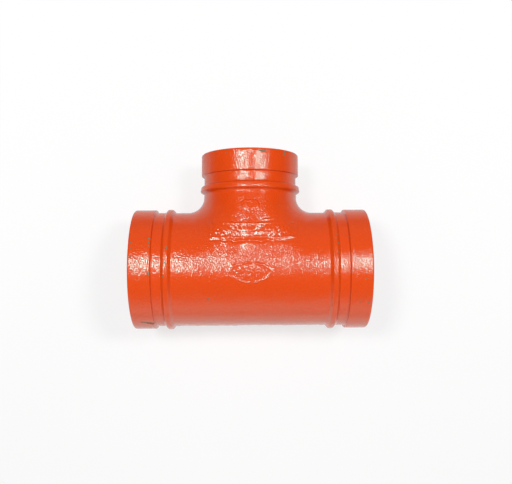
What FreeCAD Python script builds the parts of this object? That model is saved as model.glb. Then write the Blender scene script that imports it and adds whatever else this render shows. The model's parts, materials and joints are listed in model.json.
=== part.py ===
import FreeCAD, Part
import math
import os

# A grooved reducing tee, cast in one piece and joined to its pipes by grooved couplings.
# It lies on its side as it comes to rest: +X runs along the run, the branch points to +Y and leans
# down until its end touches the floor, and +Z is up. The origin is where the two centrelines cross.
# All sizes are in millimetres.

# Pipe sizes, and how far the ends are from the crossing of the centrelines
RUN_OD = 88.9
BRANCH_OD = 73.0
RUN_CENTRE_TO_END = 85.7
BRANCH_CENTRE_TO_END = 85.7

# The seat for the coupling's gasket and the groove for its keys, alike on all three ends
SEAT_LENGTH = 15.88
GROOVE_WIDTH = 7.95
GROOVE_DEPTH = 1.98

# The cast bead behind each groove: the groove ends half-way up its outer flank, and the crown of
# the branch's bead rises a little going inwards
RUN_BEAD_OVER_PIPE = 0.3
RUN_BEAD_OUTER_FLANK = 2.0
RUN_BEAD_CROWN = 2.9
RUN_BEAD_RISE = 0.0
RUN_BEAD_INNER_FLANK = 2.3
BRANCH_BEAD_OVER_PIPE = 0.75
BRANCH_BEAD_OUTER_FLANK = 1.0
BRANCH_BEAD_CROWN = 3.6
BRANCH_BEAD_RISE = 0.6
BRANCH_BEAD_INNER_FLANK = 1.6

# How far the run's body and the branch's neck lie below their pipe sizes, and the cast wall
BODY_STEP = 2.25
NECK_STEP = 1.8
WALL = 4.2

# The neck gets deeper towards the run, front and back, from a round under the bead to ovals: where
# it starts to, how far inside the run's body it ends, and how far it bulges out half-way
NECK_TOP = 55.0
NECK_FOOT_INSET = 0.3
NECK_BULGE = 1.4

# The saddle's blend grows from the sides of the branch to its front and back, as broad shoulders
SADDLE_SIDE_RADIUS = 11.5
SADDLE_FRONT_RADIUS = 28.0

# Other blends and broken edges of the casting. A rounded foot reaches this share of its radius
# beyond the corner that it rounds
WATERWAY_LIP_RADIUS = 3.0
END_EDGE_RADIUS = 1.2
SEAT_EDGE_RADIUS = 0.6
GROOVE_CORNER_RADIUS = 0.8
BEAD_EDGE_RADIUS = 1.0
BEAD_FOOT_RADIUS = 1.5
BEAD_FOOT_SHARE = 0.7
MOUTH_CHAMFER = 1.0

# Sizes that follow from those above
RUN_RADIUS = RUN_OD / 2
BRANCH_RADIUS = BRANCH_OD / 2
BODY_RADIUS = RUN_RADIUS - BODY_STEP
NECK_RADIUS = BRANCH_RADIUS - NECK_STEP
RUN_BORE_RADIUS = BODY_RADIUS - WALL
BRANCH_BORE_RADIUS = NECK_RADIUS - WALL
RUN_BEAD_RADIUS = RUN_RADIUS + RUN_BEAD_OVER_PIPE
BRANCH_BEAD_RADIUS = BRANCH_RADIUS + BRANCH_BEAD_OVER_PIPE
RUN_CROWN_START = RUN_CENTRE_TO_END - SEAT_LENGTH - GROOVE_WIDTH - RUN_BEAD_OUTER_FLANK / 2
RUN_CROWN_END = RUN_CROWN_START - RUN_BEAD_CROWN
RUN_BEAD_FOOT = RUN_CROWN_END - RUN_BEAD_INNER_FLANK
BRANCH_CROWN_START = BRANCH_CENTRE_TO_END - SEAT_LENGTH - GROOVE_WIDTH - BRANCH_BEAD_OUTER_FLANK / 2
BRANCH_CROWN_END = BRANCH_CROWN_START - BRANCH_BEAD_CROWN
BRANCH_BEAD_FOOT = BRANCH_CROWN_END - BRANCH_BEAD_INNER_FLANK

CROSSING = FreeCAD.Vector(0, 0, 0)
ALONG_RUN = FreeCAD.Vector(1, 0, 0)
ALONG_BRANCH = FreeCAD.Vector(0, 1, 0)
FORWARD = FreeCAD.Vector(0, 0, 1)
SAME_PLACE = 0.01


def rounded_outline(corners, axis, side):
    """A closed wire through corners, each (along axis, out to side, radius of its rounding)."""
    points = [axis * along + side * out for along, out, radius in corners]
    starts = []
    ends = []
    edges = []
    for i, corner in enumerate(points):
        radius = corners[i][2]
        back = (points[i - 1] - corner).normalize()
        ahead = (points[(i + 1) % len(points)] - corner).normalize()
        half_angle = back.getAngle(ahead) / 2
        reach = radius / math.tan(half_angle)
        starts.append(corner + back * reach)
        ends.append(corner + ahead * reach)
        if radius > 0:
            inward = (back + ahead).normalize()
            middle = corner + inward * (radius / math.sin(half_angle) - radius)
            edges.append(Part.Arc(starts[i], middle, ends[i]).toShape())
    for i, end in enumerate(ends):
        start = starts[(i + 1) % len(starts)]
        if end.distanceToPoint(start) > SAME_PLACE:
            edges.append(Part.LineSegment(end, start).toShape())
    return Part.Wire(Part.__sortEdges__(edges))


def turned(corners, axis, seam_side):
    """The solid that an outline makes when it turns round an axis. Its seam lies on seam_side."""
    return Part.Face(rounded_outline(corners, axis, seam_side)).revolve(CROSSING, axis, 360)


def seat_and_groove(to_end, pipe_radius):
    """The corners of an end's outside, from its face inwards over the seat into the groove."""
    groove_start = to_end - SEAT_LENGTH
    return [
        (to_end, pipe_radius, END_EDGE_RADIUS),
        (groove_start, pipe_radius, SEAT_EDGE_RADIUS),
        (groove_start, pipe_radius - GROOVE_DEPTH, GROOVE_CORNER_RADIUS),
    ]


def run_outside():
    """The run's outer form: a grooved end at each side of a plain body."""
    right = seat_and_groove(RUN_CENTRE_TO_END, RUN_RADIUS) + [
        (RUN_CROWN_START + RUN_BEAD_OUTER_FLANK, RUN_RADIUS - GROOVE_DEPTH, GROOVE_CORNER_RADIUS),
        (RUN_CROWN_START, RUN_BEAD_RADIUS - RUN_BEAD_RISE, BEAD_EDGE_RADIUS),
        (RUN_CROWN_END, RUN_BEAD_RADIUS, BEAD_EDGE_RADIUS),
        (RUN_BEAD_FOOT, BODY_RADIUS, BEAD_FOOT_RADIUS),
    ]
    left = [(-along, out, radius) for along, out, radius in reversed(right)]
    corners = [(RUN_CENTRE_TO_END, 0, 0)] + right + left + [(-RUN_CENTRE_TO_END, 0, 0)]
    return turned(corners, ALONG_RUN, ALONG_BRANCH * -1)


def branch_end_outside():
    """The branch's outer form above the neck: one grooved end."""
    corners = seat_and_groove(BRANCH_CENTRE_TO_END, BRANCH_RADIUS) + [
        (
            BRANCH_CROWN_START + BRANCH_BEAD_OUTER_FLANK,
            BRANCH_RADIUS - GROOVE_DEPTH,
            GROOVE_CORNER_RADIUS,
        ),
        (BRANCH_CROWN_START, BRANCH_BEAD_RADIUS - BRANCH_BEAD_RISE, BEAD_EDGE_RADIUS),
        (BRANCH_CROWN_END, BRANCH_BEAD_RADIUS, BEAD_EDGE_RADIUS),
        (BRANCH_BEAD_FOOT, NECK_RADIUS, BEAD_FOOT_RADIUS),
        (neck_top(), NECK_RADIUS, 0),
        (neck_top(), 0, 0),
    ]
    return turned([(BRANCH_CENTRE_TO_END, 0, 0)] + corners, ALONG_BRANCH, ALONG_RUN)


def neck_top():
    """Where the neck starts to get deeper: no higher than the rounded foot of the branch's bead."""
    return min(NECK_TOP, BRANCH_BEAD_FOOT - BEAD_FOOT_RADIUS * BEAD_FOOT_SHARE)


def neck_section(height, to_front):
    """An oval across the neck: as wide as the neck is round, and this far from centre to front."""
    centre = ALONG_BRANCH * height
    front = centre + FORWARD * to_front
    side = centre + ALONG_RUN * NECK_RADIUS
    return Part.Wire(Part.Ellipse(front, side, centre).toShape())


def neck_outside():
    """The neck's outer form, from the run's centreline up to the round under the bead."""
    foot_to_front = BODY_RADIUS - NECK_FOOT_INSET
    sections = [
        neck_section(0, foot_to_front),
        neck_section(neck_top() / 2, (foot_to_front + NECK_RADIUS) / 2 + NECK_BULGE),
        neck_section(neck_top(), NECK_RADIUS),
    ]
    return Part.makeLoft(sections, True, False)


def crossing_edges(shape, run_radius, branch_radius):
    """The edges where a cylinder along the run meets the branch, which is this far out at its sides."""
    found = []
    for edge in shape.Edges:
        points = edge.discretize(9)
        on_run = all(abs(math.hypot(p.y, p.z) - run_radius) < SAME_PLACE for p in points)
        on_branch = all(abs(p.x) < branch_radius + SAME_PLACE for p in points)
        if on_run and on_branch and edge.BoundBox.XLength > branch_radius / 2:
            found.append(edge)
    return found


def saddle_radii():
    """The blend beside the branch and at its front. Both shrink if body or neck leave less room."""
    along_run = RUN_BEAD_FOOT - BEAD_FOOT_RADIUS - NECK_RADIUS
    up_neck = neck_top() - BODY_RADIUS
    share = min(SADDLE_SIDE_RADIUS, along_run, up_neck) / SADDLE_SIDE_RADIUS
    return SADDLE_SIDE_RADIUS * share, SADDLE_FRONT_RADIUS * share


def right_front_quarter(shape):
    """The quarter of a shape to the right of the branch's centreline and in front of it."""
    reach = 2 * (RUN_CENTRE_TO_END + BRANCH_CENTRE_TO_END)
    return shape.common(Part.makeBox(reach, 2 * reach, reach, ALONG_BRANCH * -reach))


def with_mirror_image(shape, across):
    """A shape joined to its mirror image across the plane through the crossing."""
    return shape.fuse(shape.mirror(CROSSING, across))


def outside():
    """The whole outer form, with the saddle between neck and body blended as by a rolling ball.

    The ball grows from the side of the branch to its front, so the blend is made on one quarter
    of the form, which is then mirrored to the left and to the back.
    """
    branch = neck_outside().fuse(branch_end_outside())
    quarter = right_front_quarter(run_outside().fuse(branch).removeSplitter())
    edges = crossing_edges(quarter, BODY_RADIUS, NECK_RADIUS)
    beside, in_front = saddle_radii()
    blended = quarter.makeFillet(beside, in_front, edges)
    return with_mirror_image(with_mirror_image(blended, ALONG_RUN), FORWARD).removeSplitter()


def half_bore(to_end, bore_radius):
    """The corners of a bore from its chamfered mouth inwards."""
    return [
        (to_end, bore_radius + MOUTH_CHAMFER, 0),
        (to_end - MOUTH_CHAMFER, bore_radius, 0),
    ]


def waterway():
    """The space inside: both bores, with a rounded lip where the branch opens into the run."""
    right = half_bore(RUN_CENTRE_TO_END, RUN_BORE_RADIUS)
    left = [(-along, out, radius) for along, out, radius in reversed(right)]
    run_corners = [(RUN_CENTRE_TO_END, 0, 0)] + right + left + [(-RUN_CENTRE_TO_END, 0, 0)]
    branch_end = half_bore(BRANCH_CENTRE_TO_END, BRANCH_BORE_RADIUS)
    branch_foot = [(0, BRANCH_BORE_RADIUS, 0), (0, 0, 0)]
    branch_corners = [(BRANCH_CENTRE_TO_END, 0, 0)] + branch_end + branch_foot
    run = turned(run_corners, ALONG_RUN, ALONG_BRANCH * -1)
    branch = turned(branch_corners, ALONG_BRANCH, ALONG_RUN)
    joined = run.fuse(branch).removeSplitter()
    lip_radius = min(WATERWAY_LIP_RADIUS, WALL)
    return joined.makeFillet(lip_radius, crossing_edges(joined, RUN_BORE_RADIUS, BRANCH_BORE_RADIUS))


def lean_to_touch(along, out, radius):
    """The lean, in radians, that lays a rounding of the branch, centred at (along, out), on the floor."""
    drop = max(RUN_RADIUS, RUN_BEAD_RADIUS) - radius
    return math.asin(drop / math.hypot(along, out)) - math.atan2(out, along)


def rest_lean():
    """How far the branch leans down when the tee lies on its side: what touches first stops it."""
    end_edge = lean_to_touch(
        BRANCH_CENTRE_TO_END - END_EDGE_RADIUS, BRANCH_RADIUS - END_EDGE_RADIUS, END_EDGE_RADIUS
    )
    bead_edge = lean_to_touch(
        BRANCH_CROWN_END + BEAD_EDGE_RADIUS,
        BRANCH_BEAD_RADIUS - BEAD_EDGE_RADIUS,
        BEAD_EDGE_RADIUS,
    )
    return min(end_edge, bead_edge)


def tee_casting():
    """The casting, laid down on its side."""
    casting = outside().cut(waterway())
    casting.rotate(CROSSING, ALONG_RUN, -math.degrees(rest_lean()))
    return casting


def main():
    os.makedirs("parts", exist_ok=True)
    casting = tee_casting()
    casting.exportStep("parts/tee_casting.step")
    print("solids", len(casting.Solids), "valid", casting.isValid())
    print("volume in cm3", round(casting.Volume / 1000, 2))
    print("rest lean in degrees", round(math.degrees(rest_lean()), 4))


main()
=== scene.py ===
import bmesh
import bpy
import json
import math
import numpy as np
from mathutils import Euler, Matrix, Vector, geometry, kdtree, noise


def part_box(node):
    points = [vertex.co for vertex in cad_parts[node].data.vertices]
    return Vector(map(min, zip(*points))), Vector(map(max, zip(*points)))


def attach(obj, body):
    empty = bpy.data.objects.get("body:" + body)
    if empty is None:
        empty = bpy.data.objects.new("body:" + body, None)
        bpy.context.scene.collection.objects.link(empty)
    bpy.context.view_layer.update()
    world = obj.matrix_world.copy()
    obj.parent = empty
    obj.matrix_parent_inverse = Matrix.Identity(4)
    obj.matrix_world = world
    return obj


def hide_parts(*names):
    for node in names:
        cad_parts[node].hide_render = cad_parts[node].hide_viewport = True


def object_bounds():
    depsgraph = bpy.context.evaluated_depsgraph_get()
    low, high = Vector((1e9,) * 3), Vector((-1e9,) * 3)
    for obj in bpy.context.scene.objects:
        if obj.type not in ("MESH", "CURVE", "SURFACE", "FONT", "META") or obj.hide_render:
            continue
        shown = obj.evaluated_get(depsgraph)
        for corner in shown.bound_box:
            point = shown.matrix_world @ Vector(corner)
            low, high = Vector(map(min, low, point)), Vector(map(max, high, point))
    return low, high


# A grooved reducing tee of cast iron in glossy orange paint, lying on its side on a pale floor.
# Its skin is one closed mesh. It is built in millimetres in the casting's own axes, where the run
# lies along X and the branch along +Y, and is then laid down as the CAD part lies.

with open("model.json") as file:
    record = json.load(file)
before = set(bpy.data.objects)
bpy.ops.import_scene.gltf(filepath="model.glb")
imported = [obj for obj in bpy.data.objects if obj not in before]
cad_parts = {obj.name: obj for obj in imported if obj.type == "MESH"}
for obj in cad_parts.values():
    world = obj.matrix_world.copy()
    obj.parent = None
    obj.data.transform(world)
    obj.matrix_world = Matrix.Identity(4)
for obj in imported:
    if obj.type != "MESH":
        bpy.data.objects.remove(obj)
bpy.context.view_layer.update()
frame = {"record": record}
MM = 0.001

# Sizes that the CAD part gives
MOUNTS = {mount["name"]: mount for mount in frame["record"]["mounts"]}
RUN_RADIUS = MOUNTS["run_end_right"]["dims"]["r_mm"]
BRANCH_RADIUS = MOUNTS["branch_end"]["dims"]["r_mm"]
RUN_BORE_RADIUS = MOUNTS["run_bore"]["dims"]["r_mm"]
BRANCH_BORE_RADIUS = MOUNTS["branch_bore"]["dims"]["r_mm"]
BRANCH_AXIS = Vector(MOUNTS["branch_end"]["axis"])
LEAN = math.atan2(-BRANCH_AXIS.z, BRANCH_AXIS.y)
TO_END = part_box("tee_casting")[1].x / MM

# The casting's outer form
WALL = 4.2
BODY_RADIUS = RUN_BORE_RADIUS + WALL
NECK_RADIUS = BRANCH_BORE_RADIUS + WALL
SEAT_LENGTH = 15.88
GROOVE_WIDTH = 7.95
GROOVE_DEPTH = 1.98
BEAD_START = TO_END - SEAT_LENGTH - GROOVE_WIDTH

# Each bead: how far it stands over the pipe, how much its crown rises going inwards, and how long
# its outer flank, its crown and its inner flank are
RUN_BEAD = (0.3, 0.0, 2.0, 2.9, 2.3)
BRANCH_BEAD = (0.95, 0.6, 1.0, 3.6, 1.6)

# The neck gets deeper towards the run, at the front and the back: its depths at heights above the
# run's centreline
NECK_HEIGHTS = (0.0, 27.5, 55.0)
NECK_DEPTHS = (41.9, 39.7, NECK_RADIUS)

# Blends and broken edges. The saddle's blend grows from the sides of the branch to its front
SADDLE_RADIUS = 11.5
SADDLE_FRONT_RADIUS = 60.0
WATERWAY_LIP_RADIUS = 3.0
END_EDGE_RADIUS = 1.2
SEAT_EDGE_RADIUS = 0.6
GROOVE_CORNER_RADIUS = 0.8
BEAD_EDGE_RADIUS = 1.0
BEAD_FOOT_RADIUS = 1.5
MOUTH_CHAMFER = 1.0

# How far out the curved sheets between the ends reach, outside and inside
BODY_SHEET_REACH = 54.8
NECK_SHEET_REACH = 55.0
RUN_BORE_SHEET_REACH = 60.0
BRANCH_BORE_SHEET_REACH = 50.0

# Distances between mesh points: on the outside, at the front of the branch, at the seam, where
# there is relief and in the bores
OUTSIDE_STEP = 1.25
FRONT_STEP = 0.6
SEAM_STEP = 0.5
RELIEF_STEP = 0.5
BORE_STEP = 3.0

# Where points lie closer together, in degrees to each side: at the seam, at the seam away from the
# branch, and round the front of the branch
SEAM_ANGLE = 2
FAR_SEAM_ANGLE = 3
FRONT_ANGLE = 50

# The parts of the body and the neck with relief, each from a low corner to a high one. On the body
# they are millimetres along the run and radians from the branch's side towards the front, and on
# the neck radians from the right towards the front and millimetres up
BODY_RELIEF = (((-31, 0.64), (35, 1.2)), ((-17, 1.45), (16, 1.95)))
NECK_RELIEF = ((0.35 * math.pi, 25), (0.65 * math.pi, 53))

# Steps round a rounding and across the saddle and the waterway's lip
ARC_STEPS = 3
SADDLE_ROWS = 14
LIP_ROWS = 4

# Points this near are one, and slopes are taken over this distance. Rows of an even triangle mesh
# lie this share of their step apart, and a point keeps this share of its step from a border. The
# last is how exactly a flat sheet is cut into triangles
SAME_POINT = 0.01
ROW_SHARE = math.sqrt(0.75)
BORDER_SHARE = 0.55
FLAT_TOLERANCE = 1e-6

# Moving points onto the saddle: how many rounds, and the smallest slope that a step reckons with
SETTLING_ROUNDS = 6
LEAST_SLOPE = 0.5

# The parting line of the mould: a low, uneven seam along the middle of the casting's height, its
# even share, the size and amount of its swells, the half width of its fine mesh, and how far up or
# down the surface may face there
SEAM_HALF_WIDTH = 0.55
SEAM_HEIGHT = 0.28
SEAM_SHARE = 0.75
SEAM_SWELL = (7.0, 0.6)
SEAM_BAND = 1.5
SEAM_FACING = 0.5

# The raised ground of the front of the neck, with a crease along its foot and a fuller shoulder on
# both sides: how high it stands in the middle and at the sides, at heights above the run's
# centreline, then how far from the middle the sides take over and the ground fades out, and the
# size and amount of its waver
GROUND_HEIGHTS = (4.0, 13.0, 17.2, 18.9, 20.4, 24.5, 28.0, 46.0)
GROUND_RISES = (0.0, 0.0, -0.05, -0.4, 0.3, 0.7, 0.55, 0.0)
GROUND_SIDE_RISES = (0.0, 0.65, 1.2, 0.95, 1.6, 2.2, 2.5, 0.0)
GROUND_SIDE = (6.0, 20.0)
GROUND_HALF_WIDTH = (22.0, 38.0)
GROUND_WAVER = (7.0, 1.3)

# The uneven cast surface: the size and height of its swells, and their share on the calmer ends.
# The noise that they are made of has its hills about this far apart
SWELLS = ((26.0, 0.16), (9.0, 0.10), (4.5, 0.05))
CALM_SHARE = 0.35
NOISE_HILL = 1.5

# Blank raised places on the front of the casting, by their centre and half size across and up
LONG_FRAME = (2.0, 26.2)
LONG_FRAME_HALF = (30.3, 5.1)
NECK_PAD = (-0.3, 44.9)
NECK_PAD_HALF = (6.8, 3.6)
OVAL_FRAME = (-0.5, -3.4)
OVAL_FRAME_HALF = (14.5, 6.8)

# The rims of both frames, and the size and amount of their waver and of what breaks them
RIM_HALF_WIDTH = 0.65
RIM_HEIGHT = 0.3
RIM_WAVER = (9.0, 0.5)
RIM_BREAKS = (5.0, 1.1)

# The pad on the neck, and the rough ground of all three places: the size and height of its swells,
# its edge, and its share in the oval frame and on the pad
PAD_HEIGHT = 0.35
PAD_EDGE = 0.8
ROUGH_SWELL = (2.6, 0.30)
ROUGH_EDGE = 1.0
OVAL_ROUGH_SHARE = 0.5
PAD_ROUGH_SHARE = 0.4

# A raised scar in the long frame
SCAR_START = (8.5, 33.6)
SCAR_END = (18.5, 34.6)
SCAR_HEIGHT = 0.35
SCAR_HALF_WIDTH = 0.5

# What is raised on the front is whole where the surface faces it, and fades between these slopes
FACING_FRONT = (0.15, 0.30)


def swing(start, end, share):
    """The vector a share of the way round from one vector to another of the same length."""
    angle = math.acos(np.clip(start @ end / (start @ start), -1, 1))
    return (start * math.sin((1 - share) * angle) + end * math.sin(share * angle)) / math.sin(angle)


def straight_on(line, end, step):
    """Goes on from a line's last point straight to end, in equal steps no longer than step."""
    start = line[-1]
    count = math.ceil(np.linalg.norm(end - start) / step - SAME_POINT)
    line.extend(start + (end - start) * k / count for k in range(1, count + 1))


def outline(corners, step):
    """Points along an outline through corners, each (along the axis, out from it, rounding)."""
    points = [np.array(corner[:2]) for corner in corners]
    line = [points[0]]
    for before, corner, after, (_, _, radius) in zip(points, points[1:], points[2:], corners[1:]):
        if radius == 0:
            straight_on(line, corner, step)
            continue
        back = (before - corner) / np.linalg.norm(before - corner)
        ahead = (after - corner) / np.linalg.norm(after - corner)
        half_angle = math.acos(back @ ahead) / 2
        inward = (back + ahead) / np.linalg.norm(back + ahead)
        centre = corner + inward * radius / math.sin(half_angle)
        start = corner + back * radius / math.tan(half_angle) - centre
        end = corner + ahead * radius / math.tan(half_angle) - centre
        straight_on(line, centre + start, step)
        line.extend(centre + swing(start, end, k / ARC_STEPS) for k in range(1, ARC_STEPS + 1))
    straight_on(line, points[-1], step)
    return line


def end_outline(pipe_radius, body, bead, bore, sheet_reach, bore_sheet_reach):
    """One end in section, from the body over the bead, groove and seat and back along the bore."""
    groove = pipe_radius - GROOVE_DEPTH
    over_pipe, rise, outer_flank, crown, inner_flank = bead
    crown_start = BEAD_START - outer_flank / 2
    outside = [
        (sheet_reach, body, 0),
        (crown_start - crown - inner_flank, body, BEAD_FOOT_RADIUS),
        (crown_start - crown, pipe_radius + over_pipe, BEAD_EDGE_RADIUS),
        (crown_start, pipe_radius + over_pipe - rise, BEAD_EDGE_RADIUS),
        (crown_start + outer_flank, groove, GROOVE_CORNER_RADIUS),
        (BEAD_START + GROOVE_WIDTH, groove, GROOVE_CORNER_RADIUS),
        (BEAD_START + GROOVE_WIDTH, pipe_radius, SEAT_EDGE_RADIUS),
        (TO_END, pipe_radius, END_EDGE_RADIUS),
        (TO_END, bore + MOUTH_CHAMFER, 0),
    ]
    inside = [
        (TO_END, bore + MOUTH_CHAMFER, 0),
        (TO_END - MOUTH_CHAMFER, bore, 0),
        (bore_sheet_reach, bore, 0),
    ]
    return outline(outside, OUTSIDE_STEP) + outline(inside, BORE_STEP)[1:]


def angles_round(radius, start, bands):
    """Angles once round from start: each band is (the angle it ends at, the step along the arc)."""
    angles = []
    for end, step in bands:
        count = math.ceil(radius * math.radians(end - start) / step)
        angles.extend(np.radians(np.linspace(start, end, count, endpoint=False)))
        start = end
    return np.array(angles)


def on_run(along, out, angle):
    """Points round the run. Angles go from the branch's side towards the front."""
    return np.stack(np.broadcast_arrays(along, out * np.cos(angle), out * np.sin(angle)), -1)


def on_branch(along, out, angle):
    """Points round the branch. Angles go from the right towards the front."""
    return np.stack(np.broadcast_arrays(out * np.cos(angle), along, out * np.sin(angle)), -1)


def neck_distance(points):
    """How far points are outside the neck, which is an oval that gets deeper towards the run."""
    x, y, z = points.T
    depth = np.polyval(np.polyfit(NECK_HEIGHTS, NECK_DEPTHS, 2), np.minimum(y, NECK_HEIGHTS[-1]))
    share = np.hypot(x / NECK_RADIUS, z / depth)
    return (share - 1) * share / np.hypot(x / NECK_RADIUS ** 2, z / depth ** 2)


def body_distance(points):
    """How far points are outside the run's body."""
    return np.hypot(points[:, 1], points[:, 2]) - BODY_RADIUS


def slopes(distance, points):
    """How a distance changes along X, Y and Z at each point."""
    here = distance(points)
    return np.stack([distance(points + side) - here for side in np.eye(3) * SAME_POINT], -1) / SAME_POINT


def saddle_radius(points):
    """The radius of the saddle's blend, which grows with the square of the turn to the front."""
    turn = np.arctan2(abs(points[:, 2]), abs(points[:, 0])) / (math.pi / 2)
    return SADDLE_RADIUS + (SADDLE_FRONT_RADIUS - SADDLE_RADIUS) * turn ** 2


def outside_distance(points):
    """How far points are outside body and neck, blended as by a rolling ball."""
    neck = neck_distance(points)
    body = body_distance(points)
    radius = saddle_radius(points)
    along = (slopes(neck_distance, points) * slopes(body_distance, points)).sum(1)
    to_neck = radius - neck
    to_body = radius - body
    touches = (to_neck > along * to_body) & (to_body > along * to_neck)
    apart = np.maximum(1 - along ** 2, SAME_POINT ** 2)
    ball = np.sqrt(np.maximum(to_neck ** 2 + to_body ** 2 - 2 * along * to_neck * to_body, 0) / apart)
    return np.where(touches, radius - ball, np.minimum(neck, body))


def settled(points):
    """Points of the plain saddle moved onto the one whose neck gets deeper."""
    moved = points.copy()
    near = points[:, 1] > 0
    for _ in range(SETTLING_ROUNDS):
        far = outside_distance(moved[near])
        slope = slopes(outside_distance, moved[near])
        steepness = np.maximum((slope ** 2).sum(1), LEAST_SLOPE ** 2)
        moved[near] -= slope * (far / steepness)[:, None]
    return moved


class Saddle:
    """Where a run of one radius and a branch of another meet, blended as by a rolling ball."""

    def __init__(self, run, branch, blend):
        self.run = run
        self.branch = branch
        self.blend = blend

    def ball(self, angle):
        """Where the ball's centre is when it touches the branch at this angle."""
        x = (self.branch + self.blend) * np.cos(angle)
        z = (self.branch + self.blend) * np.sin(angle)
        return np.stack([x, np.sqrt((self.run + self.blend) ** 2 - z ** 2), z], -1)

    def on_branch(self, angle):
        """Where the ball touches the branch."""
        return on_branch(self.ball(angle)[..., 1], self.branch, angle)

    def on_run(self, angle):
        """Where the ball touches the run."""
        share = self.run / (self.run + self.blend)
        return self.ball(angle) * np.array([1, share, share])

    def strip(self, angles, rows):
        """Rows of points over the blend, from the branch down to the run."""
        ball = self.ball(angles)
        upper = self.on_branch(angles) - ball
        lower = self.on_run(angles) - ball
        return [
            ball + np.array([swing(u, v, row / rows) for u, v in zip(upper, lower)])
            for row in range(rows + 1)
        ]

    def opens(self, x, angle):
        """Whether the branch opens out of the run at x, at this angle round the run."""
        reach = self.branch + self.blend
        inside = (x / reach) ** 2 + ((self.run + self.blend) * np.sin(angle) / reach) ** 2 < 1
        return inside & (np.cos(angle) > 0)

    def above(self, y, angle):
        """Whether y is on the branch above the blend, at this angle round the branch."""
        return y > self.ball(angle)[..., 1]


def lattice(low, high, step, zones):
    """Staggered points over a rectangle, closer together in zones (low, high, step)."""
    found = []
    for n, (zone_low, zone_high, zone_step) in enumerate([*zones, (low, high, step)]):
        rows = np.arange(zone_low[1], zone_high[1], zone_step * ROW_SHARE)
        for k, v in enumerate(rows):
            u = np.arange(zone_low[0] + zone_step * (k % 2) / 2, zone_high[0], zone_step)
            free = np.ones(len(u), bool)
            for other_low, other_high, _ in zones[:n]:
                across = (u >= other_low[0]) & (u <= other_high[0])
                free &= ~(across & (other_low[1] <= v <= other_high[1]))
            found.extend((a, v, zone_step) for a in u[free])
    return np.array(found)


def filled(loops, spread, keep):
    """Triangles over a flat sheet bounded by loops, through the spread points that keep accepts."""
    border = []
    edges = []
    for loop in loops:
        first = len(border)
        border.extend(tuple(point) for point in loop)
        edges.extend((first + k, first + (k + 1) % len(loop)) for k in range(len(loop)))
    tree = kdtree.KDTree(len(border))
    for n, (u, v) in enumerate(border):
        tree.insert((u, v, 0), n)
    tree.balance()
    spread = spread[keep(spread[:, 0], spread[:, 1])]
    inner = [(u, v) for u, v, step in spread if tree.find((u, v, 0))[2] > step * BORDER_SHARE]
    flat = [Vector(point) for point in border + inner]
    points, _, faces, _, _, _ = geometry.delaunay_2d_cdt(flat, edges, [], 0, FLAT_TOLERANCE, False)
    points = np.array(points)
    faces = np.array(faces)
    middle = points[faces].mean(1)
    return points, faces[keep(middle[:, 0], middle[:, 1])]


def run_sheet(saddle, reach, run_angles, branch_angles, step, zones):
    """The run's straight part, with the hole that the branch opens from."""
    radius = saddle.run
    arc = np.append(run_angles, run_angles[0] + math.tau) * radius
    across = np.linspace(-reach, reach, round(2 * reach / step) + 1)
    around = [(-reach, v) for v in arc] + [(u, arc[-1]) for u in across[1:-1]]
    around += [(reach, v) for v in arc[::-1]] + [(u, arc[0]) for u in across[-2:0:-1]]
    touch = saddle.on_run(branch_angles)
    hole = list(zip(touch[:, 0], radius * np.arctan2(touch[:, 2], touch[:, 1])))
    spread = lattice((-reach, arc[0]), (reach, arc[-1]), step, zones)
    points, faces = filled([around, hole], spread, lambda u, v: ~saddle.opens(u, v / radius))
    return on_run(points[:, 0], radius, points[:, 1] / radius), faces


def neck_sheet(saddle, reach, branch_angles, step, zones):
    """The branch's straight part, down to the saddle."""
    radius = saddle.branch
    turned = np.append(branch_angles, branch_angles[0] + math.tau)
    foot = saddle.on_branch(turned)[:, 1]
    rise = np.linspace(foot[0], reach, math.ceil((reach - foot[0]) / step))[1:-1]
    around = list(zip(turned * radius, foot)) + [(turned[-1] * radius, v) for v in rise]
    around += [(u, reach) for u in turned[::-1] * radius] + [(turned[0] * radius, v) for v in rise[::-1]]
    spread = lattice((turned[0] * radius, foot.min()), (turned[-1] * radius, reach), step, zones)
    points, faces = filled([around], spread, lambda u, v: saddle.above(v, u / radius))
    return on_branch(points[:, 1], radius, points[:, 0] / radius), faces


def grid(rows):
    """Points and faces of closed rows joined one to the next."""
    wide = len(rows[0])
    faces = []
    for row in range(len(rows) - 1):
        for k in range(wide):
            after = (k + 1) % wide
            below = (row + 1) * wide
            faces.append((row * wide + k, row * wide + after, below + after, below + k))
    return np.concatenate(rows), faces


def angles_round_run():
    """Angles round the run, closer together at both seams."""
    bands = [
        (FAR_SEAM_ANGLE - 180, SEAM_STEP),
        (-SEAM_ANGLE, OUTSIDE_STEP),
        (SEAM_ANGLE, SEAM_STEP),
        (180 - FAR_SEAM_ANGLE, OUTSIDE_STEP),
        (180, SEAM_STEP),
    ]
    return angles_round(RUN_RADIUS, -180, bands)


def angles_round_branch():
    """Angles round the branch, closer together at both seams and at the front."""
    bands = [
        (-SEAM_ANGLE, OUTSIDE_STEP),
        (SEAM_ANGLE, SEAM_STEP),
        (90 - FRONT_ANGLE, OUTSIDE_STEP),
        (90 + FRONT_ANGLE, FRONT_STEP),
        (180 - SEAM_ANGLE, OUTSIDE_STEP),
        (180 + SEAM_ANGLE, SEAM_STEP),
        (270, OUTSIDE_STEP),
    ]
    return angles_round(BRANCH_RADIUS, -90, bands)


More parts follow.
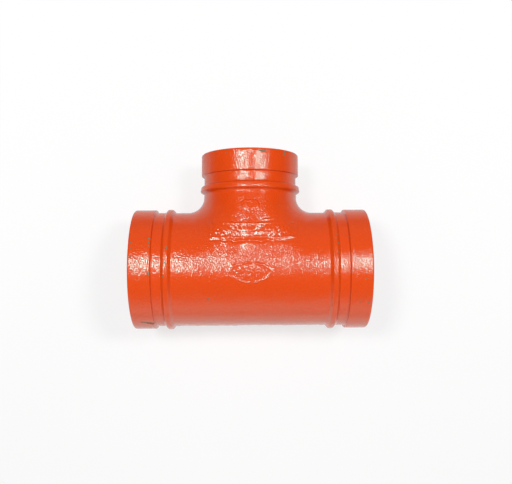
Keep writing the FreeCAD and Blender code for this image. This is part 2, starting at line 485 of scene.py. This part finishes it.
def body_zones():
    """The zones of the body's sheet with a finer mesh: its relief, and the seam on both sides."""
    zones = [
        ((left, start * BODY_RADIUS), (right, end * BODY_RADIUS), RELIEF_STEP)
        for (left, start), (right, end) in BODY_RELIEF
    ]
    far_seam = math.pi * BODY_RADIUS
    bands = [(-far_seam, SEAM_BAND - far_seam), (far_seam - SEAM_BAND, far_seam), (-SEAM_BAND, SEAM_BAND)]
    zones += [((-BODY_SHEET_REACH, low), (BODY_SHEET_REACH, high), SEAM_STEP) for low, high in bands]
    return zones


def neck_zones():
    """The zone of the neck's sheet with a finer mesh."""
    (start, low), (end, high) = NECK_RELIEF
    return [((start * NECK_RADIUS, low), (end * NECK_RADIUS, high), RELIEF_STEP)]


def casting_parts():
    """The casting's skin as separate grids and sheets that meet edge to edge."""
    run_angles = angles_round_run()
    branch_angles = angles_round_branch()
    run_end = end_outline(
        RUN_RADIUS, BODY_RADIUS, RUN_BEAD, RUN_BORE_RADIUS, BODY_SHEET_REACH, RUN_BORE_SHEET_REACH
    )
    branch_end = end_outline(
        BRANCH_RADIUS,
        NECK_RADIUS,
        BRANCH_BEAD,
        BRANCH_BORE_RADIUS,
        NECK_SHEET_REACH,
        BRANCH_BORE_SHEET_REACH,
    )
    outer = Saddle(BODY_RADIUS, NECK_RADIUS, SADDLE_RADIUS)
    inner = Saddle(RUN_BORE_RADIUS, BRANCH_BORE_RADIUS, WATERWAY_LIP_RADIUS)
    saddle_points, saddle_faces = grid(outer.strip(branch_angles, SADDLE_ROWS))
    body_points, body_faces = run_sheet(
        outer, BODY_SHEET_REACH, run_angles, branch_angles, OUTSIDE_STEP, body_zones()
    )
    neck_points, neck_faces = neck_sheet(
        outer, NECK_SHEET_REACH, branch_angles, OUTSIDE_STEP, neck_zones()
    )
    return [
        grid([on_run(along, out, run_angles) for along, out in run_end]),
        grid([on_run(-along, out, run_angles) for along, out in run_end]),
        grid([on_branch(along, out, branch_angles) for along, out in branch_end]),
        (settled(saddle_points), saddle_faces),
        (settled(body_points), body_faces),
        (settled(neck_points), neck_faces),
        grid(inner.strip(branch_angles, LIP_ROWS)),
        run_sheet(inner, RUN_BORE_SHEET_REACH, run_angles, branch_angles, BORE_STEP, []),
        neck_sheet(inner, BRANCH_BORE_SHEET_REACH, branch_angles, BORE_STEP, []),
    ]


def joined(parts):
    """One closed mesh from parts that meet edge to edge."""
    points = []
    faces = []
    for part_points, part_faces in parts:
        faces.extend(tuple(int(i) + len(points) for i in face) for face in part_faces)
        points.extend(map(tuple, part_points))
    mesh = bpy.data.meshes.new("casting_skin")
    mesh.from_pydata(points, [], faces)
    work = bmesh.new()
    work.from_mesh(mesh)
    bmesh.ops.remove_doubles(work, verts=work.verts, dist=SAME_POINT)
    bmesh.ops.recalc_face_normals(work, faces=work.faces)
    work.to_mesh(mesh)
    work.free()
    mesh.shade_smooth()
    return mesh


def read_vectors(items, name):
    """One vector of each item of a mesh, as an array."""
    values = np.zeros(len(items) * 3)
    items.foreach_get(name, values)
    return values.reshape(-1, 3)


def swell(points, wavelength, seed):
    """Soft random hills and hollows between about -1 and 1."""
    shift = Vector((seed, seed, seed))
    return np.array([noise.noise(Vector(point) / wavelength * NOISE_HILL + shift) for point in points])


def smooth_step(low, high, value):
    """0 below low, 1 above high and a soft change between."""
    share = np.clip((value - low) / (high - low), 0, 1)
    return share * share * (3 - 2 * share)


def box_distance(x, y, centre, half):
    """How far outside a rectangle a point is, less than 0 inside."""
    return np.maximum(abs(x - centre[0]) - half[0], abs(y - centre[1]) - half[1])


def pad_distance(x, y, centre, half):
    """The same from a bar with round ends."""
    return np.hypot(np.maximum(abs(x - centre[0]) - half[0] + half[1], 0), y - centre[1]) - half[1]


def oval_distance(x, y, centre, half):
    """About the same from an oval."""
    return (np.hypot((x - centre[0]) / half[0], (y - centre[1]) / half[1]) - 1) * min(half)


def line_distance(x, y, start, end):
    """How far a point is from a straight line between two points."""
    along = np.subtract(end, start)
    share = np.clip(((x - start[0]) * along[0] + (y - start[1]) * along[1]) / (along @ along), 0, 1)
    return np.hypot(x - start[0] - along[0] * share, y - start[1] - along[1] * share)


def seam_rise(points):
    """How high the seam of the parting line stands."""
    height = SEAM_HEIGHT * np.exp(-(points[:, 2] / SEAM_HALF_WIDTH) ** 2)
    return height * (SEAM_SHARE + SEAM_SWELL[1] * swell(points, SEAM_SWELL[0], seed=3.0))


def ground_rise(points):
    """How high the raised ground of the neck's front and its shoulders stand."""
    x, y, _ = points.T
    height = y + GROUND_WAVER[1] * swell(points, GROUND_WAVER[0], seed=2.0)
    rise = np.interp(height, GROUND_HEIGHTS, GROUND_RISES)
    side_rise = np.interp(height, GROUND_HEIGHTS, GROUND_SIDE_RISES)
    rise += (side_rise - rise) * smooth_step(*GROUND_SIDE, abs(x))
    return rise * (1 - smooth_step(*GROUND_HALF_WIDTH, abs(x)))


def blank_places_rise(points):
    """How high the frames' broken rims, the pad, their rough ground and the scar stand."""
    x, y, _ = points.T
    uneven = np.maximum(1 + RIM_BREAKS[1] * swell(points, RIM_BREAKS[0], seed=5.0), 0)
    waver = RIM_WAVER[1] * swell(points, RIM_WAVER[0], seed=7.0)
    long_frame = box_distance(x, y + waver, LONG_FRAME, LONG_FRAME_HALF)
    oval_frame = oval_distance(x, y + waver, OVAL_FRAME, OVAL_FRAME_HALF)
    rims = np.exp(-(long_frame / RIM_HALF_WIDTH) ** 2) + np.exp(-(oval_frame / RIM_HALF_WIDTH) ** 2)
    pad = smooth_step(0, PAD_EDGE, -pad_distance(x, y, NECK_PAD, NECK_PAD_HALF))
    rough = smooth_step(0, ROUGH_EDGE, -long_frame)
    rough += OVAL_ROUGH_SHARE * smooth_step(0, ROUGH_EDGE, -oval_frame)
    rough += PAD_ROUGH_SHARE * pad
    rough *= ROUGH_SWELL[1] * swell(points, ROUGH_SWELL[0], seed=9.0)
    scar = np.exp(-(line_distance(x, y, SCAR_START, SCAR_END) / SCAR_HALF_WIDTH) ** 2)
    return (RIM_HEIGHT * rims + SCAR_HEIGHT * scar) * uneven + PAD_HEIGHT * pad + rough


def relief(points, normals):
    """How far the cast surface stands out or in from its plain form at each point."""
    on_end = np.maximum(abs(points[:, 0]), points[:, 1]) > BEAD_START
    inside = (normals * points * [0, 1, 1]).sum(1) < 0
    share = np.where(on_end, CALM_SHARE, 1.0)
    height = sum(amount * share * swell(points, size, seed=size) for size, amount in SWELLS)
    seamless = on_end | inside | (abs(normals[:, 2]) > SEAM_FACING)
    height += np.where(seamless, 0, seam_rise(points))
    front = smooth_step(*FACING_FRONT, normals[:, 2]) * ~inside
    return height + front * (ground_rise(points) + blank_places_rise(points))


def tee_casting():
    """The casting's skin as an object, laid down where the CAD part lies."""
    mesh = joined(casting_parts())
    points = read_vectors(mesh.vertices, "co")
    normals = read_vectors(mesh.vertices, "normal")
    points += normals * relief(points, normals)[:, None]
    mesh.vertices.foreach_set("co", points.ravel())
    mesh.transform(Matrix.Rotation(-LEAN, 4, "X") @ Matrix.Scale(MM, 4))
    mesh.update()
    casting = bpy.data.objects.new("casting_skin", mesh)
    bpy.context.scene.collection.objects.link(casting)
    return casting


# The paint: the record's orange, and how far the grain lightens and darkens it
PAINT = Vector(frame["record"]["materials"][0]["base_color"])
PAINT_SPREAD = 0.08

# Its gloss: the roughness from its smoothest to its dullest specks, their size, the part of the
# noise that goes from one to the other, and a tint that makes highlights on orange look white
PAINT_ROUGHNESS = (0.10, 0.26)
GLOSS_SIZE = 0.7 * MM
GLOSS_NOISE = (0.35, 0.65)
PAINT_SPECULAR = 1.0
PAINT_SPECULAR_TINT = (0.12, 1.0, 0.9)

# The grain of the sand mould: its size and depth, its share on surfaces that face sideways, and
# between which slopes it grows from that share to its full depth
GRAIN_SIZE = 0.8 * MM
GRAIN_DEPTH = 0.18 * MM
GRAIN_SIDE_SHARE = 0.4
GRAIN_FACING = (0.5, 0.85)

# The broader ripples of thick paint
PEEL_SIZE = 3.2 * MM
PEEL_DEPTH = 0.07 * MM

# Chips down to the dull brown primer: how soft, how ragged and how deep their edges are
PRIMER = (0.25, 0.135, 0.068)
PRIMER_ROUGHNESS = 0.85
CHIP_EDGE = 0.08 * MM
CHIP_RAGGED = 1.2 * MM
CHIP_RAGGED_SIZE = 1.3 * MM
CHIP_DEPTH = 0.15 * MM

# Each chip's place in the casting's own axes and how far it reaches, in millimetres
CHIPS = (
    # The seat and the groove's edge on the left
    (-83.3, 17.5, 40.8, 0.7),
    (-83.6, 13.5, 42.4, 0.6),
    (-83.6, 7.7, 43.8, 0.6),
    (-71.2, 20.4, 39.5, 0.9),
    (-71.0, 17.5, 40.9, 0.8),
    (-70.8, 14.6, 41.9, 0.6),
    (-70.9, -3.3, 44.3, 0.8),
    (-70.7, -4.8, 44.2, 0.8),
    # The left bead and the body
    (-58.8, 14.0, 42.1, 0.9),
    (-59.8, 4.0, 44.1, 0.8),
    (-61.0, -6.0, 43.7, 0.6),
    (-30.0, -21.8, 36.1, 0.9),
    # Chips that run together low on the left seat
    (-78.1, -38.2, 22.7, 0.9),
    (-76.2, -38.5, 22.2, 0.9),
    (-74.2, -38.9, 21.5, 1.3),
    (-72.2, -39.2, 20.9, 1.4),
    (-70.6, -39.5, 20.3, 1.2),
    # The right bead
    (60.9, 23.1, 37.6, 0.8),
    (59.4, 20.3, 39.4, 0.8),
    (61.6, 16.9, 40.7, 0.8),
    (60.7, 10.7, 42.9, 0.7),
    (60.4, 8.0, 43.5, 0.7),
    (61.5, -5.4, 43.5, 0.6),
    # The groove's edge and the seat on the right
    (69.8, 21.6, 37.0, 0.6),
    (76.8, -24.1, 37.3, 0.6),
    (82.9, -25.2, 36.6, 0.6),
    (79.8, -8.1, 43.7, 0.5),
    # The edge of the branch's end
    (5.8, 83.6, 36.1, 0.5),
    (7.4, 83.4, 35.7, 0.8),
    (9.0, 83.3, 35.4, 1.0),
    (10.6, 83.5, 34.9, 0.9),
    (25.0, 83.3, 26.5, 0.8),
    (24.6, 82.0, 26.8, 0.8),
    (-17.3, 82.3, 32.1, 0.6),
)


def add_node(tree, kind, inputs=None, **settings):
    """A new node with its settings, and its inputs given as values or as outputs to link."""
    made = tree.nodes.new(kind)
    for name, value in settings.items():
        setattr(made, name, value)
    for name, value in (inputs or {}).items():
        if isinstance(value, bpy.types.NodeSocket):
            tree.links.new(value, made.inputs[name])
        else:
            made.inputs[name].default_value = value
    return made


def calculated(tree, operation, *values):
    """The outcome of a calculation with values or outputs."""
    return add_node(tree, "ShaderNodeMath", dict(enumerate(values)), operation=operation).outputs[0]


def mapped(tree, value, before, after, **settings):
    """A value brought from one range to another, and held at that one's ends."""
    ranges = {"From Min": before[0], "From Max": before[1], "To Min": after[0], "To Max": after[1]}
    return add_node(tree, "ShaderNodeMapRange", {"Value": value, **ranges}, **settings).outputs[0]


def soft_noise(tree, place, size, detail):
    """Soft random spots of a given size, between about 0 and 1."""
    inputs = {"Vector": place, "Scale": 1 / size, "Detail": detail}
    return add_node(tree, "ShaderNodeTexNoise", inputs).outputs["Fac"]


def bumped(tree, height, depth, more=None, **settings):
    """Which way the surface faces where height raises it by up to depth."""
    inputs = {"Height": height, "Distance": depth, "Strength": 1.0, **(more or {})}
    return add_node(tree, "ShaderNodeBump", inputs, **settings).outputs["Normal"]


def chipped(tree, place):
    """Where the paint is chipped off: 1 in a chip and 0 outside."""
    turn = Matrix.Rotation(-LEAN, 3, "X")
    nearest = CHIP_RAGGED
    for *spot, reach in CHIPS:
        middle = turn @ Vector(spot) * MM
        far = add_node(tree, "ShaderNodeVectorMath", {0: place, 1: middle}, operation="DISTANCE")
        beyond = calculated(tree, "SUBTRACT", far.outputs["Value"], reach * MM)
        nearest = calculated(tree, "MINIMUM", beyond, nearest)
    ragged = soft_noise(tree, place, CHIP_RAGGED_SIZE, 1.0)
    edge = calculated(tree, "MULTIPLY_ADD", ragged, CHIP_RAGGED, nearest)
    middle = CHIP_RAGGED / 2
    return mapped(tree, edge, (middle + CHIP_EDGE, middle - CHIP_EDGE), (0.0, 1.0))


def paint_colour(tree, grain, chip):
    """Orange that the grain lightens and darkens, with primer in the chips."""
    darker = (*PAINT * (1 - PAINT_SPREAD), 1)
    lighter = (*PAINT * (1 + PAINT_SPREAD), 1)
    paint = add_node(tree, "ShaderNodeMix", {0: grain, 6: darker, 7: lighter}, data_type="RGBA")
    inputs = {0: chip, 6: paint.outputs[2], 7: (*PRIMER, 1)}
    return add_node(tree, "ShaderNodeMix", inputs, data_type="RGBA").outputs[2]


def paint_roughness(tree, place, chip):
    """Gloss that changes from speck to speck, and dull primer in the chips."""
    gloss = mapped(tree, soft_noise(tree, place, GLOSS_SIZE, 0.0), GLOSS_NOISE, PAINT_ROUGHNESS)
    inputs = {0: chip, 2: gloss, 3: PRIMER_ROUGHNESS}
    return add_node(tree, "ShaderNodeMix", inputs, data_type="FLOAT").outputs[0]


def paint_normal(tree, place, grain, chip):
    """Broad ripples, sunken chips and fine grain, which is calmer on surfaces that face sideways."""
    facing = add_node(tree, "ShaderNodeTexCoord").outputs["Normal"]
    upright = add_node(tree, "ShaderNodeSeparateXYZ", {"Vector": facing}).outputs["Z"]
    upright = calculated(tree, "ABSOLUTE", upright)
    strength = mapped(tree, upright, GRAIN_FACING, (GRAIN_SIDE_SHARE, 1.0))
    broad = bumped(tree, soft_noise(tree, place, PEEL_SIZE, 1.0), PEEL_DEPTH)
    sunken = bumped(tree, chip, CHIP_DEPTH, {"Normal": broad}, invert=True)
    return bumped(tree, grain, GRAIN_DEPTH, {"Normal": sunken, "Strength": strength})


def paint_material():
    """Glossy paint over the grain of sand-cast iron, with a few chips."""
    material = bpy.data.materials.new("orange_paint")
    material.use_nodes = True
    tree = material.node_tree
    tree.nodes.clear()
    place = add_node(tree, "ShaderNodeTexCoord").outputs["Object"]
    grain = soft_noise(tree, place, GRAIN_SIZE, 0.0)
    chip = chipped(tree, place)
    shader = add_node(
        tree,
        "ShaderNodeBsdfPrincipled",
        {
            "Base Color": paint_colour(tree, grain, chip),
            "Roughness": paint_roughness(tree, place, chip),
            "Specular IOR Level": PAINT_SPECULAR,
            "Specular Tint": (*PAINT_SPECULAR_TINT, 1),
            "Normal": paint_normal(tree, place, grain, chip),
        },
    )
    add_node(tree, "ShaderNodeOutputMaterial", {"Surface": shader.outputs["BSDF"]})
    return material


# The floor: its matt colour, and the share of plain white that the camera and reflections see in it
# near the casting. For reflections this white fades with the distance from a centre, between two
# distances and down to the last share
FLOOR_HALF_SIZE = 4.0
FLOOR_COLOUR = 0.9
FLOOR_GLOW = 0.7
FLOOR_CENTRE_Y = -0.25
FLOOR_FAR = (0.22, 0.50)
FLOOR_FAR_SHARE = 0.1

# Each lamp: its angle to the right of straight above, its angle towards the branch, its half width
# and half height as angles, and its strength. Both are this far from the casting, in metres
LAMP_DISTANCE = 1.0
LEFT_LAMP = (-17.5, 14, 5.5, 5.5, 42)
RIGHT_LAMP = (23, 15, 5, 5, 44)

# The sky is set by the X, Y and Z of its directions, each from -1 to 1. Its brightest part lies low
# down on the side away from the branch: how bright it is, and between which Y and Z it comes up
SKY_BRIGHT = 1.0
SKY_BRIGHT_SIDE = (-0.30, -0.60)
SKY_BRIGHT_LOW = (0.66, 0.10)

# The sky beyond the branch, and the dim sky overhead, which fades out to both sides
SKY_FAR = 0.15
SKY_FAR_SIDE = (0.55, 0.95)
SKY_DARK = 0.035
SKY_SIDES = (0.30, 0.65)

# The soft fill that only matt surfaces get: its level on the side away from the branch and in the
# rest of the sky, and between which Y it changes
SKY_FILL = (0.60, 0.20)
SKY_FILL_SIDE = (-0.8, -0.2)


def floor_material(height):
    """A matt pale surface that looks white, keeps a soft shadow and reflects darker far out."""
    material = bpy.data.materials.new("floor")
    material.use_nodes = True
    tree = material.node_tree
    tree.nodes.clear()
    place = add_node(tree, "ShaderNodeTexCoord").outputs["Object"]
    middle = (0, FLOOR_CENTRE_Y, height)
    away = add_node(tree, "ShaderNodeVectorMath", {0: place, 1: middle}, operation="DISTANCE")
    fade = (1.0, FLOOR_FAR_SHARE)
    shade = mapped(tree, away.outputs["Value"], FLOOR_FAR, fade, interpolation_type="SMOOTHSTEP")
    path = add_node(tree, "ShaderNodeLightPath").outputs
    colour = (FLOOR_COLOUR, FLOOR_COLOUR, FLOOR_COLOUR, 1)
    matt = add_node(tree, "ShaderNodeBsdfDiffuse", {"Color": colour}).outputs[0]
    pale = calculated(tree, "MAXIMUM", shade, path["Is Camera Ray"])
    white = add_node(tree, "ShaderNodeEmission", {"Color": pale, "Strength": 1.0}).outputs[0]
    seen = calculated(tree, "MAXIMUM", path["Is Camera Ray"], path["Is Glossy Ray"])
    seen = calculated(tree, "MAXIMUM", seen, path["Is Transmission Ray"])
    glow = calculated(tree, "MULTIPLY", seen, mapped(tree, shade, fade, (FLOOR_GLOW, 1.0)))
    mixed = add_node(tree, "ShaderNodeMixShader", {0: glow, 1: matt, 2: white})
    add_node(tree, "ShaderNodeOutputMaterial", {"Surface": mixed.outputs[0]})
    return material


def floor(height):
    """A plain flat floor at this height."""
    mesh = bpy.data.meshes.new("floor")
    size = FLOOR_HALF_SIZE
    sides = [(-size, -size), (size, -size), (size, size), (-size, size)]
    mesh.from_pydata([(x, y, height) for x, y in sides], [], [(0, 1, 2, 3)])
    mesh.materials.append(floor_material(height))
    plane = bpy.data.objects.new("floor", mesh)
    bpy.context.scene.collection.objects.link(plane)


def softbox(name, across, up, half_width, half_height, strength):
    """A soft lamp above the casting, facing it."""
    light = bpy.data.lights.new(name, "AREA")
    light.shape = "RECTANGLE"
    light.size = 2 * LAMP_DISTANCE * math.tan(math.radians(half_width))
    light.size_y = 2 * LAMP_DISTANCE * math.tan(math.radians(half_height))
    light.energy = strength * math.pi * light.size * light.size_y
    lamp = bpy.data.objects.new(name, light)
    direction = Vector((math.tan(math.radians(across)), math.tan(math.radians(up)), 1)).normalized()
    lamp.location = direction * LAMP_DISTANCE
    lamp.rotation_euler = direction.to_track_quat("Z", "Y").to_euler()
    lamp.visible_camera = False
    bpy.context.scene.collection.objects.link(lamp)


def sky():
    """A dim sky, dark at both sides, bright low down on one side and white to the camera."""
    world = bpy.data.worlds.new("studio")
    world.use_nodes = True
    tree = world.node_tree
    tree.nodes.clear()
    place = add_node(tree, "ShaderNodeTexCoord").outputs["Generated"]
    parts = add_node(tree, "ShaderNodeSeparateXYZ", {"Vector": place}).outputs
    path = add_node(tree, "ShaderNodeLightPath").outputs
    bright_side = mapped(tree, parts["Y"], SKY_BRIGHT_SIDE, (0.0, SKY_BRIGHT))
    bright_low = mapped(tree, parts["Z"], SKY_BRIGHT_LOW, (0.0, 1.0))
    far_side = mapped(tree, parts["Y"], SKY_FAR_SIDE, (0.0, SKY_FAR))
    overhead = mapped(tree, calculated(tree, "ABSOLUTE", parts["X"]), SKY_SIDES, (SKY_DARK, 0.0))
    fill = mapped(tree, parts["Y"], SKY_FILL_SIDE, SKY_FILL)
    fill = calculated(tree, "MULTIPLY", path["Is Diffuse Ray"], fill)
    level = calculated(tree, "MULTIPLY", bright_side, bright_low)
    for other in (far_side, overhead, fill, path["Is Camera Ray"]):
        level = calculated(tree, "MAXIMUM", level, other)
    light = add_node(tree, "ShaderNodeBackground", {"Color": (1, 1, 1, 1), "Strength": level})
    add_node(tree, "ShaderNodeOutputWorld", {"Surface": light.outputs[0]})
    bpy.context.scene.world = world


# The camera looks down on the casting: its place, its turn in degrees, its lens in millimetres, and
# how near it sees, in metres
CAMERA_PLACE = Vector((-3.20, 40.44, 518.63)) * MM
CAMERA_TURN = (-2.219, -0.839, -0.232)
CAMERA_LENS = 48.375
CAMERA_CLIP_START = 0.01


def camera():
    """The camera at the photograph's viewing angle."""
    data = bpy.data.cameras.new("camera")
    data.lens = CAMERA_LENS
    data.clip_start = CAMERA_CLIP_START
    view = bpy.data.objects.new("camera", data)
    view.location = CAMERA_PLACE
    view.rotation_euler = Euler([math.radians(angle) for angle in CAMERA_TURN])
    bpy.context.scene.collection.objects.link(view)
    bpy.context.scene.camera = view


casting = tee_casting()
casting.data.materials.append(paint_material())
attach(casting, "root")
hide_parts("tee_casting")

bpy.context.scene.view_settings.view_transform = "Standard"
camera()
sky()
softbox("left_softbox", *LEFT_LAMP)
softbox("right_softbox", *RIGHT_LAMP)
shown_low, shown_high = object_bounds()
floor(shown_low.z)
